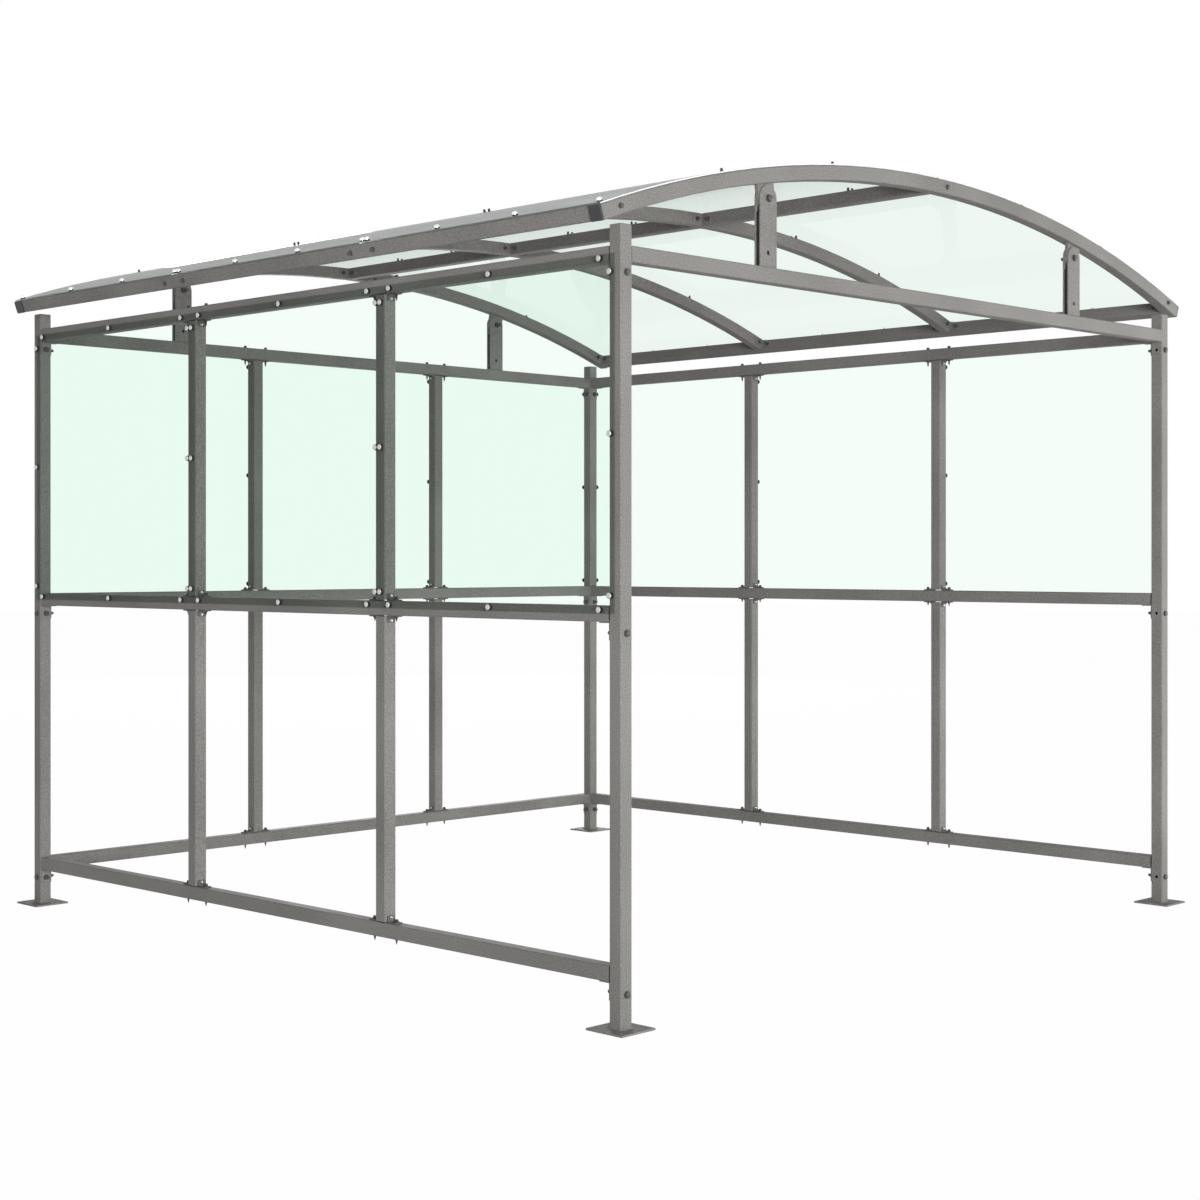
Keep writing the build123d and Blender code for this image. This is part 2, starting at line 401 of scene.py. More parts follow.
@dataclass(frozen=True)
class ClearSheet:
    """Extruded clear acrylic: faintly green through its thickness, with polished faces."""

    name: str = "clear_acrylic_sheet"
    sawn_ends: bool = False
    tint: str = "#f4fdf8"
    sawn: str = "#fafbfa"
    shade: str = "#e1e2e1"
    haze: str = "#d2d5d3"
    ior: float = 1.03
    roughness: float = 0.015
    smear: float = 0.25
    smear_from: float = 0.35
    smear_full: float = 0.65
    smear_share: float = 0.4
    haze_from: float = 0.88
    haze_full: float = 0.955
    haze_share: float = 0.6

    def material(self) -> Material:
        """Builds the finish; lamps and matte surfaces see through it straight, in its shade.

        Its index is below the real one, because white surroundings would mirror too strongly.

        Returns:
            The material.
        """
        material, tree = empty_material(self.name)
        place = add_node(tree, "ShaderNodeTexCoord").outputs["Object"]
        smear = add_node(tree, "ShaderNodeTexNoise",
                         {"Vector": place, "Scale": 1 / self.smear, "Detail": 3.0})
        gloss = add_node(tree, "ShaderNodeMapRange",
                         {"Value": smear, "From Min": self.smear_from, "From Max": self.smear_full,
                          "To Min": (1 - self.smear_share) * self.roughness,
                          "To Max": (1 + self.smear_share) * self.roughness})
        polished = add_node(tree, "ShaderNodeBsdfPrincipled",
                            {"Base Color": linear(self.tint), "Roughness": gloss,
                             "IOR": self.ior, "Transmission Weight": 1.0})
        glass = self.with_haze(tree, polished)
        if self.sawn_ends:
            glass = self.with_sawn_ends(tree, glass)
        straight = add_node(tree, "ShaderNodeBsdfTransparent", {"Color": linear(self.shade)})
        rays = add_node(tree, "ShaderNodeLightPath").outputs
        unseen = add_node(tree, "ShaderNodeMath",
                          {0: rays["Is Shadow Ray"], 1: rays["Is Diffuse Ray"]},
                          operation="MAXIMUM")
        both = add_node(tree, "ShaderNodeMixShader", {0: unseen, 1: glass, 2: straight})
        add_node(tree, "ShaderNodeOutputMaterial", {"Surface": both})
        return material

    def with_haze(self, tree: NodeTree, polished: Node) -> Node:
        """Adds the haze of fine scratches, which scatter light where the sheet is seen edge on.

        Args:
            tree: The material's node tree.
            polished: Shader of the sheet without scratches.

        Returns:
            Shader of the scratched sheet.
        """
        edge_on = add_node(tree, "ShaderNodeLayerWeight").outputs["Facing"]
        share = add_node(tree, "ShaderNodeMapRange",
                         {"Value": edge_on, "From Min": self.haze_from, "From Max": self.haze_full,
                          "To Max": self.haze_share})
        scratched = add_node(tree, "ShaderNodeBsdfDiffuse", {"Color": linear(self.haze)})
        return add_node(tree, "ShaderNodeMixShader", {0: share, 1: polished, 2: scratched})

    def with_sawn_ends(self, tree: NodeTree, polished: Node) -> Node:
        """Frosts the ends that face the front and the back, which a saw leaves white.

        Args:
            tree: The material's node tree.
            polished: Shader of the polished faces.

        Returns:
            Shader of the whole sheet.
        """
        normal = add_node(tree, "ShaderNodeTexCoord").outputs["Normal"]
        depth = add_node(tree, "ShaderNodeSeparateXYZ", {"Vector": normal}).outputs["Y"]
        facing = add_node(tree, "ShaderNodeMath", {0: depth}, operation="ABSOLUTE")
        end = add_node(tree, "ShaderNodeMath", {0: facing, 1: 0.5}, operation="GREATER_THAN")
        frost = add_node(tree, "ShaderNodeBsdfDiffuse", {"Color": linear(self.sawn)})
        return add_node(tree, "ShaderNodeMixShader", {0: end, 1: polished, 2: frost})


@dataclass(frozen=True)
class Plating:
    """Electroplated steel fixing, bare or passivated, with a little unevenness in its gloss."""

    name: str
    colour: str
    roughness: float
    metallic: float
    mottle: float = 0.004
    mottle_share: float = 0.2

    def material(self) -> Material:
        """Builds the finish from a mottled roughness on one metal colour.

        Returns:
            The material.
        """
        material, tree = empty_material(self.name)
        place = add_node(tree, "ShaderNodeTexCoord").outputs["Object"]
        mottle = add_node(tree, "ShaderNodeTexNoise",
                          {"Vector": place, "Scale": 1 / self.mottle, "Detail": 2.0})
        gloss = add_node(tree, "ShaderNodeMapRange",
                         {"Value": mottle, **NOISE_RANGE,
                          "To Min": (1 - self.mottle_share) * self.roughness,
                          "To Max": (1 + self.mottle_share) * self.roughness})
        shader = add_node(tree, "ShaderNodeBsdfPrincipled",
                          {"Base Color": linear(self.colour), "Metallic": self.metallic,
                           "Roughness": gloss})
        add_node(tree, "ShaderNodeOutputMaterial", {"Surface": shader})
        return material


@dataclass(frozen=True)
class MouldedPlastic:
    """Moulded dark polymer, for plugs, seals and blocks of painted shade in slots: matte and finely
    grained.
    """

    name: str
    colour: str
    roughness: float = 0.55
    ior: float = 1.5
    grain: float = 0.0012
    grain_depth: float = 0.00005

    def material(self) -> Material:
        """Builds the finish with a spark-eroded grain as bump.

        Returns:
            The material.
        """
        material, tree = empty_material(self.name)
        place = add_node(tree, "ShaderNodeTexCoord").outputs["Object"]
        grain = add_node(tree, "ShaderNodeTexNoise",
                         {"Vector": place, "Scale": 1 / self.grain, "Detail": 1.0})
        bump = add_node(tree, "ShaderNodeBump", {"Height": grain, "Distance": self.grain_depth})
        shader = add_node(tree, "ShaderNodeBsdfPrincipled",
                          {"Base Color": linear(self.colour), "Roughness": self.roughness,
                           "Normal": bump, "IOR": self.ior})
        add_node(tree, "ShaderNodeOutputMaterial", {"Surface": shader})
        return material


@dataclass
class Finishes:
    """All materials of the shelter, made once."""

    # Satin grey with a faint sparkle, on every tube, plate and cleat
    steel: Material = field(default_factory=PowderCoat().material)
    # Almost clear, a breath of green where two sheets lie behind each other
    sheet: Material = field(default_factory=ClearSheet().material)
    # The same sheet overhead: a little greyer, with white sawn ends
    roof: Material = field(
        default_factory=ClearSheet("clear_acrylic_roof", sawn_ends=True, tint="#eef7f2").material)
    # Dull charcoal ends on the arches
    plug: Material = field(default_factory=MouldedPlastic("moulded_plug", "#38383a").material)
    # Nearly black rubber: rings under bright heads, thick enough to paint the heads' shadows too,
    # and blocks that paint the shade in the struts' slots
    seal: Material = field(default_factory=MouldedPlastic("rubber_and_painted_shade", "#161616", 0.7).material)
    # Pale dots along the sheets' edges and beside the uprights
    zinc: Material = field(default_factory=Plating("bright_zinc", "#c9c9c6", 0.4, 0.8).material)
    # Bright caps along the eaves
    nickel: Material = field(
        default_factory=Plating("polished_nickel", "#f4f4f2", 0.2, 1.0).material)
    # Bolts a shade darker than the coat
    bolt: Material = field(
        default_factory=Plating("grey_zinc_bolt", "#5a5856", 0.55, 0.3).material)
    # Small dark points on the rails and the roof
    dark: Material = field(
        default_factory=Plating("black_zinc_screw", "#3b3a39", 0.5, 0.3).material)
    # A darker coat on the small angles: painted shade for the shadow they sit in at the rails, by
    # which they stand out from the tubes
    bracket: Material = field(
        default_factory=PowderCoat("bracket_coat_painted_shade", "#74726f", "#656361", "#82807d").material)


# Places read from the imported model


def node_points(name: str) -> np.ndarray:
    """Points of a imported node's mesh, one a row.

    Args:
        name: Name of the node.

    Returns:
        Coordinates in the model's frame.
    """
    vertices = bpy.data.objects[name].data.vertices
    flat = np.empty(3 * len(vertices), np.float32)
    vertices.foreach_get("co", flat)
    return flat.reshape(-1, 3)


def end_step(name: str, falling: bool = False) -> float:
    """Rise between the two lowest levels of a node's points, or between the two highest.

    Args:
        name: Name of the node.
        falling: Whether to start from the top.

    Returns:
        The rise, such as a plate's thickness.
    """
    levels = np.unique(np.round(node_points(name)[:, 2], LEVEL_DIGITS))
    return float(levels[-1] - levels[-2] if falling else levels[1] - levels[0])


@dataclass(frozen=True)
class Layout:
    """Places that the fasteners share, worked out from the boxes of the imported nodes."""

    tube: float
    half_width: float
    half_depth: float
    rail_levels: tuple[float, float, float]
    uprights: np.ndarray
    cleat: float
    bracket: float
    plate: float
    arch_centre_z: float
    arch_radius: float
    arch_half_angle: float
    bay: float
    mid_arch_y: float
    SOLVER_ROUNDS: ClassVar[int] = 30

    @classmethod
    def from_frame(cls) -> "Layout":
        """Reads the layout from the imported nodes.

        The arch's half angle a solves X tan(a / 2) + t cos a = s, where X is its half span, t
        the tube and s its rise from the lowest corner to the crown; its radius is X / sin a.

        Returns:
            The layout.
        """
        beam_low, beam_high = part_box("front_beam")
        tube = beam_high.z - beam_low.z
        cap_low, cap_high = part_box("post_caps")
        levels = tuple(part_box(f"left_{level}_rail")[0].z for level in ("bottom", "mid", "top"))
        bay = (cap_high.y - cap_low.y - tube) / 3
        arch_low, arch_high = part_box("front_arch")
        rise = arch_high.z - arch_low.z
        half = 0.0
        for _ in range(cls.SOLVER_ROUNDS):
            half = atan((rise - tube * cos(2 * half)) / arch_high.x)
        radius = arch_high.x / sin(2 * half)
        return cls(
            tube=tube, half_width=cap_high.x, half_depth=cap_high.y, rail_levels=levels,
            uprights=bay / 2 * ENDS,
            cleat=end_step("left_rail_cleats", falling=True),
            bracket=end_step("left_upright_brackets"), plate=end_step("front_left_post"),
            arch_centre_z=arch_high.z - radius, arch_radius=radius, arch_half_angle=2 * half,
            bay=bay, mid_arch_y=bay / 2)

    def on_wall(self, wall: Wall, along: np.ndarray | float, out: float,
                up: np.ndarray | float) -> np.ndarray:
        """Points of a wall in the model's frame.

        Args:
            wall: The wall.
            along: Distances along it from its middle.
            out: Distance outwards from the posts' outer faces.
            up: Heights above ground.

        Returns:
            One point a row.
        """
        along, out, up = np.broadcast_arrays(along, out, up)
        reach = self.half_depth if wall is Wall.BACK else self.half_width
        local = np.stack([along.ravel(), out.ravel() + reach, up.ravel()], axis=1)
        return local @ wall.basis

    def on_roof(self, angle: np.ndarray, depth: np.ndarray,
                lift: float) -> tuple[np.ndarray, np.ndarray]:
        """Points over the arches and the roof's outward directions there.

        A point is (r sin a, y, c + r cos a) with r the arch's radius plus the lift.

        Args:
            angle: Angles from the crown, positive to the right.
            depth: Y of each point.
            lift: Distance outside the arches' outer faces.

        Returns:
            Points and unit directions, one a row.
        """
        angle, depth = np.broadcast_arrays(angle, depth)
        angle, depth = angle.ravel(), depth.ravel()
        out = np.stack([np.sin(angle), 0 * angle, np.cos(angle)], axis=1)
        points = (self.arch_radius + lift) * out
        points += np.stack([0 * depth, depth, 0 * depth + self.arch_centre_z], axis=1)
        return points, out


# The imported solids


@dataclass
class DressedFrame:
    """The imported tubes, plates and sheets with their finishes and eased edges."""

    nodes: dict[str, Object]
    subparts: list[dict]
    finishes: Finishes
    steel_ease: float = 0.0011
    sheet_ease: float = 0.0006
    ease_from: float = radians(30)
    weld_gap: float = 0.00002
    flat_within: float = radians(0.2)
    dark_end: str = "_upright_brackets"
    roof_end: str = "_roof_sheets"

    def build(self) -> None:
        """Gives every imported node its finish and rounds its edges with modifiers."""
        materials = {Slot.STEEL.value: (self.finishes.steel, self.steel_ease),
                     Slot.SHEET.value: (self.finishes.sheet, self.sheet_ease),
                     Slot.PLASTIC.value: (self.finishes.plug, self.steel_ease)}
        for part in self.subparts:
            material, ease = materials[part["material_slot"]]
            # The uprights' brackets take the darker coat, which paints their shade at the rails
            if part["node"].endswith(self.dark_end):
                material = self.finishes.bracket
            if part["node"].endswith(self.roof_end):
                material = self.finishes.roof
            self.dress(self.nodes[part["node"]], material, ease)

    def dress(self, node: Object, material: Material, ease: float) -> None:
        """Dresses one node.

        Args:
            node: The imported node's object.
            material: Its finish.
            ease: Width of the rounding along its edges.
        """
        node.data.materials.clear()
        node.data.materials.append(material)
        node.data.shade_smooth()
        weld = node.modifiers.new("weld", "WELD")
        weld.merge_threshold = self.weld_gap
        flat = node.modifiers.new("flat", "DECIMATE")
        flat.decimate_type = "DISSOLVE"
        flat.angle_limit = self.flat_within
        edge = node.modifiers.new("ease", "BEVEL")
        edge.width = ease
        edge.segments = 2
        edge.limit_method = "ANGLE"
        edge.angle_limit = self.ease_from
        shading = node.modifiers.new("shading", "WEIGHTED_NORMAL")
        shading.weight = 100
        shading.keep_sharp = False
        LOG.info("%s: %s", node.name, material.name)


# Fasteners


@dataclass(frozen=True)
class SealedScrew:
    """Round-headed sheet screw on a rubber seal; its origin is on the sheet, its head along +Z."""

    head_radius: float = 0.0088
    head_height: float = 0.0036
    seal_radius: float = 0.0096
    # A real seal is thinner: this height and width let the dark ring also paint the head's shadow
    # on the sheet
    seal_height: float = 0.0088
    rim_share: float = 0.25
    dome_turn: float = radians(80)
    dome_steps: int = 5
    seal_end_share: float = 0.94
    sides: int = 14

    def head(self) -> Shape:
        """Dome of the head: a quarter ellipse in radius and height, cut flat near its top.

        Returns:
            The head, standing on its seal.
        """
        rise = np.linspace(0.0, self.dome_turn, self.dome_steps)
        share = self.rim_share + (1 - self.rim_share) * np.sin(rise)
        dome = np.stack([self.head_radius * np.cos(rise),
                         self.seal_height + self.head_height * share], axis=1)
        rim = np.array([[self.head_radius, self.seal_height]])
        return turned(np.concatenate([rim, dome]), self.sides)

    def seal(self) -> Shape:
        """Flat rubber ring between the head and the sheet, bulged a little at its edge; at its
        default height it is thicker than a real seal, so its dark side also paints the head's
        shadow.

        Returns:
            The ring, standing on the origin.
        """
        end = self.seal_radius * self.seal_end_share
        profile = np.array([[end, 0.0], [self.seal_radius, self.seal_height / 2],
                            [end, self.seal_height]])
        return turned(profile, self.sides)


@dataclass(frozen=True)
class HexBolt:
    """Hexagon bolt: a head, and a nut with the shank's tip, each along +Z from its own seat."""

    shank_radius: float
    corner_radius: float
    head_height: float
    nut_height: float
    tip: float
    washer_radius: float
    washer_height: float = 0.0016
    bevel_share: float = 0.12
    bevel_slope: float = 0.6
    tip_bevel_share: float = 0.25
    sides: int = 16

    def hexagon(self, height: float) -> Shape:
        """Hexagon with its top corners turned off, standing on the origin.

        Args:
            height: Its whole height.

        Returns:
            The closed shape.
        """
        radius, bevel = self.corner_radius, self.bevel_share * self.corner_radius
        profile = np.array([[radius, 0.0], [radius, height - self.bevel_slope * bevel],
                            [radius - bevel, height]])
        return turned(profile, HEXAGON)

    def washer(self) -> Shape:
        """Flat round washer on the origin."""
        profile = np.array([[self.washer_radius, 0.0], [self.washer_radius, self.washer_height]])
        return turned(profile, self.sides)

    def head(self) -> Shape:
        """Washer and hexagon head."""
        return joined(self.washer(), moved(self.hexagon(self.head_height), self.washer_height))

    def nut(self) -> Shape:
        """Washer, nut and the bevelled tip of the shank, along +Z from the nut's seat.

        Returns:
            The three as one shape.
        """
        radius, bevel = self.shank_radius, self.tip_bevel_share * self.shank_radius
        top = self.washer_height + self.nut_height + self.tip
        shank = np.array([[radius, self.washer_height], [radius, top - bevel],
                          [radius - bevel, top]])
        return joined(self.washer(), moved(self.hexagon(self.nut_height), self.washer_height),
                      turned(shank, self.sides))


@dataclass(frozen=True)
class DrillScrew:
    """Self-drilling screw: a washer-faced hexagon head, and a drill tip where it comes out.

    Each stands along +Z on its own seat.
    """

    flange_radius: float
    flange_height: float
    corner_radius: float
    head_height: float
    shank_radius: float = 0.0036
    collar_radius: float = 0.0062
    collar_height: float = 0.003
    point: float = 0.011
    flange_rim_share: float = 0.35
    head_side_share: float = 0.85
    head_top_share: float = 0.88
    collar_side_share: float = 0.6
    point_end_share: float = 0.15
    sides: int = 14

    def head(self) -> Shape:
        """Coned round flange and hexagon head, standing on the origin.

        Returns:
            Both as one shape.
        """
        flange = np.array([[self.flange_radius, 0.0],
                           [self.flange_radius, self.flange_rim_share * self.flange_height],
                           [self.corner_radius, self.flange_height]])
        head = np.array([[self.corner_radius, self.flange_height],
                         [self.corner_radius, self.head_side_share * self.head_height],
                         [self.head_top_share * self.corner_radius, self.head_height]])
        return joined(turned(flange, self.sides), turned(head, HEXAGON))

    def tip(self, length: float) -> Shape:
        """End of the shank: a collar, a round stem and a conical point, along +Z.

        Args:
            length: How far it stands out.

        Returns:
            The closed shape.
        """
        profile = np.array([[self.collar_radius, 0.0],
                            [self.collar_radius, self.collar_side_share * self.collar_height],
                            [self.shank_radius, self.collar_height],
                            [self.shank_radius, length - self.point],
                            [self.point_end_share * self.shank_radius, length]])
        return turned(profile, self.sides)


@dataclass
class Fittings(ABC):
    """Small pieces that hold the shelter together, placed by its layout."""

    layout: Layout
    finishes: Finishes

    @abstractmethod
    def build(self) -> None:
        """Adds the pieces to the scene."""


@dataclass
class SheetScrews(Fittings):
    """Screws along the edges of the wall sheets, twelve to a sheet."""

    screw: SealedScrew = SealedScrew()
    from_side: float = 0.010
    from_top: float = 0.011
    from_corner: float = 0.050

    def places(self, wall: Wall) -> np.ndarray:
        """Screw places of one wall.

        Along each level edge a sheet has screws near both corners and in the middle, and along
        each upright edge the same.

        Args:
            wall: The wall.

        Returns:
            Points on the sheets' outer faces, one a row.
        """
        low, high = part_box(f"{wall.label}_glazing")
        bay = self.layout.bay
        half_height = (high.z - low.z) / 2
        half_sheet = (max(high.x - low.x, high.y - low.y) - 2 * bay) / 2
        level_along = (half_sheet - self.from_corner) * ENDS_AND_MIDDLE
        level_up = (half_height - self.from_top) * ENDS
        side_along = (half_sheet - self.from_side) * ENDS
        side_up = (half_height - self.from_corner) * ENDS_AND_MIDDLE
        along = np.concatenate([np.repeat(level_along, 2), np.tile(side_along, 3)])
        up = np.concatenate([np.tile(level_up, 3), np.repeat(side_up, 2)])
        middles = bay * ENDS_AND_MIDDLE
        return self.layout.on_wall(wall, middles[:, None] + along, min(high - low),
                                   (low.z + high.z) / 2 + up)

    def build(self) -> None:
        """Adds the heads and the seals of each wall; the thick dark seals also paint the heads'
        shadows.
        """
        for wall in Wall:
            points, out = self.places(wall), wall.basis[1]
            add_piece(f"{wall.label}_sheet_screws", repeated(self.screw.head(), points, out),
                      self.finishes.zinc)
            add_piece(f"{wall.label}_sheet_seals", repeated(self.screw.seal(), points, out),
                      self.finishes.seal)


@dataclass
class RoofScrews(Fittings):
    """Screws that hold the roof sheets: capped ones along the eaves, slim ones elsewhere."""

    capped: SealedScrew = SealedScrew(head_radius=0.0088, head_height=0.0085,
                                      seal_radius=0.0085, seal_height=0.0035)
    slim: DrillScrew = DrillScrew(flange_radius=0.006, flange_height=0.002, corner_radius=0.004,
                                  head_height=0.0095)
    sheet_lift: float = 0.0045
    beside_joint: float = 0.011

    def places(self) -> tuple[np.ndarray, np.ndarray]:
        """Places of all roof screws.

        Each half sheet has two at thirds along the eave and the ridge, and three along both arch
        edges: near the eave and at thirds of the way down to it.

        Returns:
            Points on the sheets' outer faces and the outward direction at each.
        """
        roof = self.layout
        end = roof.arch_half_angle - roof.tube / 2 / roof.arch_radius
        ridge = self.beside_joint / roof.arch_radius
        steps = np.array([1 / 3, 2 / 3, 1.0])
        joint = roof.mid_arch_y + self.beside_joint * ENDS
        edges = np.concatenate([-joint, joint, (roof.half_depth - roof.tube / 2) * ENDS])
        arch_angle, arch_y = np.meshgrid(end * steps, edges)
        thirds = (roof.bay * ENDS_AND_MIDDLE[:, None] + roof.bay / 6 * ENDS).ravel()
        line_angle, line_y = np.meshgrid(np.array([ridge, end]), thirds)
        angle = np.concatenate([arch_angle.ravel(), line_angle.ravel()])
        depth = np.concatenate([arch_y.ravel(), line_y.ravel()])
        return roof.on_roof(np.concatenate([angle, -angle]), np.concatenate([depth, depth]),
                            self.sheet_lift)

    def build(self) -> None:
        """Adds the capped heads with their seals, and the slim heads."""
        points, axes = self.places()
        outer = np.abs(points[:, 0]) > self.layout.half_width - self.layout.tube
        eave, inner = (points[outer], axes[outer]), (points[~outer], axes[~outer])
        add_piece("roof_caps", repeated(self.capped.head(), *eave), self.finishes.nickel)
        add_piece("roof_seals", repeated(self.capped.seal(), *eave),
                  self.finishes.seal)
        add_piece("roof_screws", repeated(self.slim.head(), *inner), self.finishes.dark)


@dataclass
class RailBolts(Fittings):
    """Bolts through the posts that hold the rails' cleats."""

    bolt: HexBolt = HexBolt(shank_radius=0.005, corner_radius=0.0098, head_height=0.0064,
                            nut_height=0.008, tip=0.010, washer_radius=0.0105)
    below_rail: float = 0.030

    def build(self) -> None:
        """Adds the heads outside the posts and the nuts on the cleats, wall by wall."""
        frame = self.layout
        levels = np.array(frame.rail_levels) - self.below_rail
        for wall in Wall:
            reach = frame.half_width if wall is Wall.BACK else frame.half_depth
            for end, side in (("first", -1), ("last", 1)):
                nut_reach = reach - frame.tube - frame.cleat
                heads = frame.on_wall(wall, side * reach, -frame.tube / 2, levels)
                nuts = frame.on_wall(wall, side * nut_reach, -frame.tube / 2, levels)
                out = side * wall.basis[0]
                shape = joined(repeated(self.bolt.head(), heads, out),
                               repeated(self.bolt.nut(), nuts, -out))
                add_piece(f"{wall.label}_{end}_rail_bolts", shape, self.finishes.bolt)


@dataclass
class BracketScrews(Fittings):
    """Self-drilling screws of the uprights' brackets: down through the rails, and level ones."""

    rail_screw: DrillScrew = DrillScrew(flange_radius=0.008, flange_height=0.003,
                                        corner_radius=0.006, head_height=0.0095)
    leg_screw: DrillScrew = DrillScrew(flange_radius=0.0046, flange_height=0.0012,
                                       corner_radius=0.0038, head_height=0.0042)
    along_leg: float = 0.0285
    up_leg: float = 0.0155
    tips: tuple[float, float, float] = (0.019, 0.015, 0.021)

    def build(self) -> None:
        """Adds the screws of each wall, rail screws dark and those in the upright legs bright."""
        for wall in Wall:
            add_piece(f"{wall.label}_rail_screws", self.rail_screws(wall), self.finishes.dark)
            add_piece(f"{wall.label}_leg_screws", self.leg_screws(wall), self.finishes.zinc)

    def rail_screws(self, wall: Wall) -> Shape:
        """Screws driven down through the rails.

        The heads stand on the brackets' legs, or on the top rail itself, and the tips show under
        the rail or under the bracket's leg there.

        Args:
            wall: The wall.

        Returns:
            All heads and tips of the wall.
        """
        frame = self.layout
        levels = np.array(frame.rail_levels)
        above = levels + frame.tube + frame.bracket * np.array([1.0, 1.0, 0.0])
        below = levels - frame.bracket * np.array([0.0, 1.0, 1.0])
        reach = frame.tube / 2 + self.along_leg
        across = (frame.uprights[:, None] + reach * ENDS).ravel()
        up = wall.basis[2]
        shapes = []
        for seat, end, length in zip(above, below, self.tips):
            heads = frame.on_wall(wall, across, -frame.tube / 2, seat)
            ends = frame.on_wall(wall, across, -frame.tube / 2, end)
            shapes += [repeated(self.rail_screw.head(), heads, up),
                       repeated(self.rail_screw.tip(length), ends, -up)]
        return joined(*shapes)

    def leg_screws(self, wall: Wall) -> Shape:
        """Screws into the uprights' sides, through the brackets' upright legs.

        Args:
            wall: The wall.

        Returns:
            All heads of the wall.
        """
        frame = self.layout
        bottom, mid, top = frame.rail_levels
        up = np.array([bottom + frame.tube + self.up_leg, mid - self.up_leg,
                       mid + frame.tube + self.up_leg, top - self.up_leg])
        shapes = []
        for side in ENDS:
            face = frame.uprights + side * (frame.tube / 2 + frame.bracket)
            points = frame.on_wall(wall, face[:, None], -frame.tube / 2, up)
            shapes.append(repeated(self.leg_screw.head(), points, side * wall.basis[0]))
        return joined(*shapes)


@dataclass
class RoofBolts(Fittings):
    """Bolts of the cleats that join the arches to the eaves and to the ridge purlins."""

    bolt: HexBolt = HexBolt(shank_radius=0.004, corner_radius=0.0075, head_height=0.0053,
                            nut_height=0.0065, tip=0.005, washer_radius=0.0085)
    along_leg: float = 0.030

    def eave_point(self, inward: float, depth: np.ndarray, side: int) -> np.ndarray:
        """Points on the middle line of the arches' tubes near an eave.

        A point lies inward of the arch's end along its end tangent, half a tube below its
        outer edge.

        Args:
            inward: Distance from the arch's end.
            depth: Y of each point.
            side: 1 on the right, -1 on the left.

        Returns:
            One point a row.
        """
        roof = self.layout
        a, r = roof.arch_half_angle, roof.arch_radius - roof.tube / 2
        x = side * (r * sin(a) - inward * cos(a))
        z = roof.arch_centre_z + r * cos(a) + inward * sin(a)
        return np.stack([0 * depth + x, depth, 0 * depth + z], axis=1)

    def build(self) -> None:
        """Adds the bolts along the arches' depth and the bolts through eaves and purlins."""
        self.build_arch_bolts()
        self.build_eave_bolts()
        self.build_purlin_bolts()

    def build_arch_bolts(self) -> None:
        """Adds the bolts through the arches near the eaves, with nuts on the cleats."""
        roof, tube = self.layout, self.layout.tube
        out = np.array([0.0, 1.0, 0.0])
        inward = tube + self.along_leg
        shapes = []
        for side in (1, -1):
            for face in (1, -1):
                y = face * np.array([roof.half_depth])
                inner = y - face * (tube + roof.cleat)
                shapes += [
                    repeated(self.bolt.head(), self.eave_point(inward, y, side), face * out),
                    repeated(self.bolt.nut(), self.eave_point(inward, inner, side), -face * out)]
                part = self.bolt.nut() if face > 0 else self.bolt.head()
                y = roof.mid_arch_y * ENDS + face * (tube / 2 + roof.cleat)
                shapes.append(repeated(part, self.eave_point(inward, y, side), face * out))
        add_piece("arch_bolts", joined(*shapes), self.finishes.bolt)

    def build_eave_bolts(self) -> None:
        """Adds the bolts through the eaves, two at each mid arch."""
        roof, tube = self.layout, self.layout.tube
        beside = tube / 2 + self.along_leg
        y = (roof.mid_arch_y * ENDS[:, None] + beside * ENDS).ravel()
        ends = (roof.half_depth - tube - self.along_leg) * ENDS
        a = roof.arch_half_angle
        shapes = []
        for side in (1, -1):
            out = np.array([side * cos(a), 0.0, -sin(a)])
            nuts = self.eave_point(tube + roof.cleat, np.concatenate([y, ends]), side)
            shapes += [repeated(self.bolt.head(), self.eave_point(0.0, y, side), out),
                       repeated(self.bolt.nut(), nuts, -out)]
        add_piece("eave_bolts", joined(*shapes), self.finishes.bolt)

    def build_purlin_bolts(self) -> None:
        """Adds the bolts of the purlins' cleats, on the right at front ends, else on the left.

        At each end one bolt runs across the purlin and one through the arch beside it, both with
        the nut on the cleat.
        """
        roof, tube = self.layout, self.layout.tube
        z = roof.arch_centre_z + roof.arch_radius - tube / 2
        joints = roof.bay * ENDS_AND_MIDDLE
        across, depth = np.array([1.0, 0.0, 0.0]), np.array([0.0, 1.0, 0.0])
        shapes = []
        for end in (-1, 1):
            side = -end * across
            face = joints + end * (roof.bay - tube) / 2
            middle = np.stack([0 * face, face - end * self.along_leg, 0 * face + z], axis=1)
            beside = np.stack([0 * face, face, 0 * face + z], axis=1)
            beside = beside + side * (tube / 2 + self.along_leg)
            for seat, nut_way, gap, head_gap in (
                    (middle, side, tube / 2 + roof.cleat, tube / 2),
                    (beside, -end * depth, roof.cleat, tube)):
                shapes += [repeated(self.bolt.nut(), seat + gap * nut_way, nut_way),
                           repeated(self.bolt.head(), seat - head_gap * nut_way, -nut_way)]
        add_piece("purlin_bolts", joined(*shapes), self.finishes.bolt)


